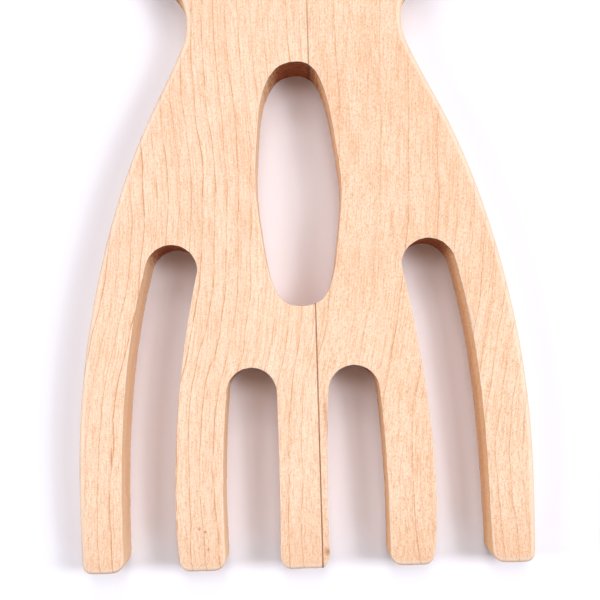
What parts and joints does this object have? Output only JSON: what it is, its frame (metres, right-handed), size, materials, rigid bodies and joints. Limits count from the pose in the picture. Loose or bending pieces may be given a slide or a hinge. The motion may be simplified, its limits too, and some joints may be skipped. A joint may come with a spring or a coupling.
{
  "type": "uncapping fork",
  "caption": "Flat wooden fork with broad parallel tines, a long finger opening, a narrow neck and a rounded palm grip.",
  "frame": {"origin": "middle of the plan outline, on the flat back face", "axes": "+Y from the tine tips to the grip, +X across the tines to the wider right-hand side of the glue line, +Z out of the front face"},
  "size_m": [0.119, 0.1904, 0.018],
  "materials": {
    "left_wood": "sanded, unfinished pale hardwood",
    "right_wood": "sanded, unfinished pale hardwood",
    "glue": "cured wood glue"
  },
  "bodies": {
    "root": {"left_board": "left_wood", "right_board": "right_wood", "glue_joint": "glue"}
  },
  "joints": []
}
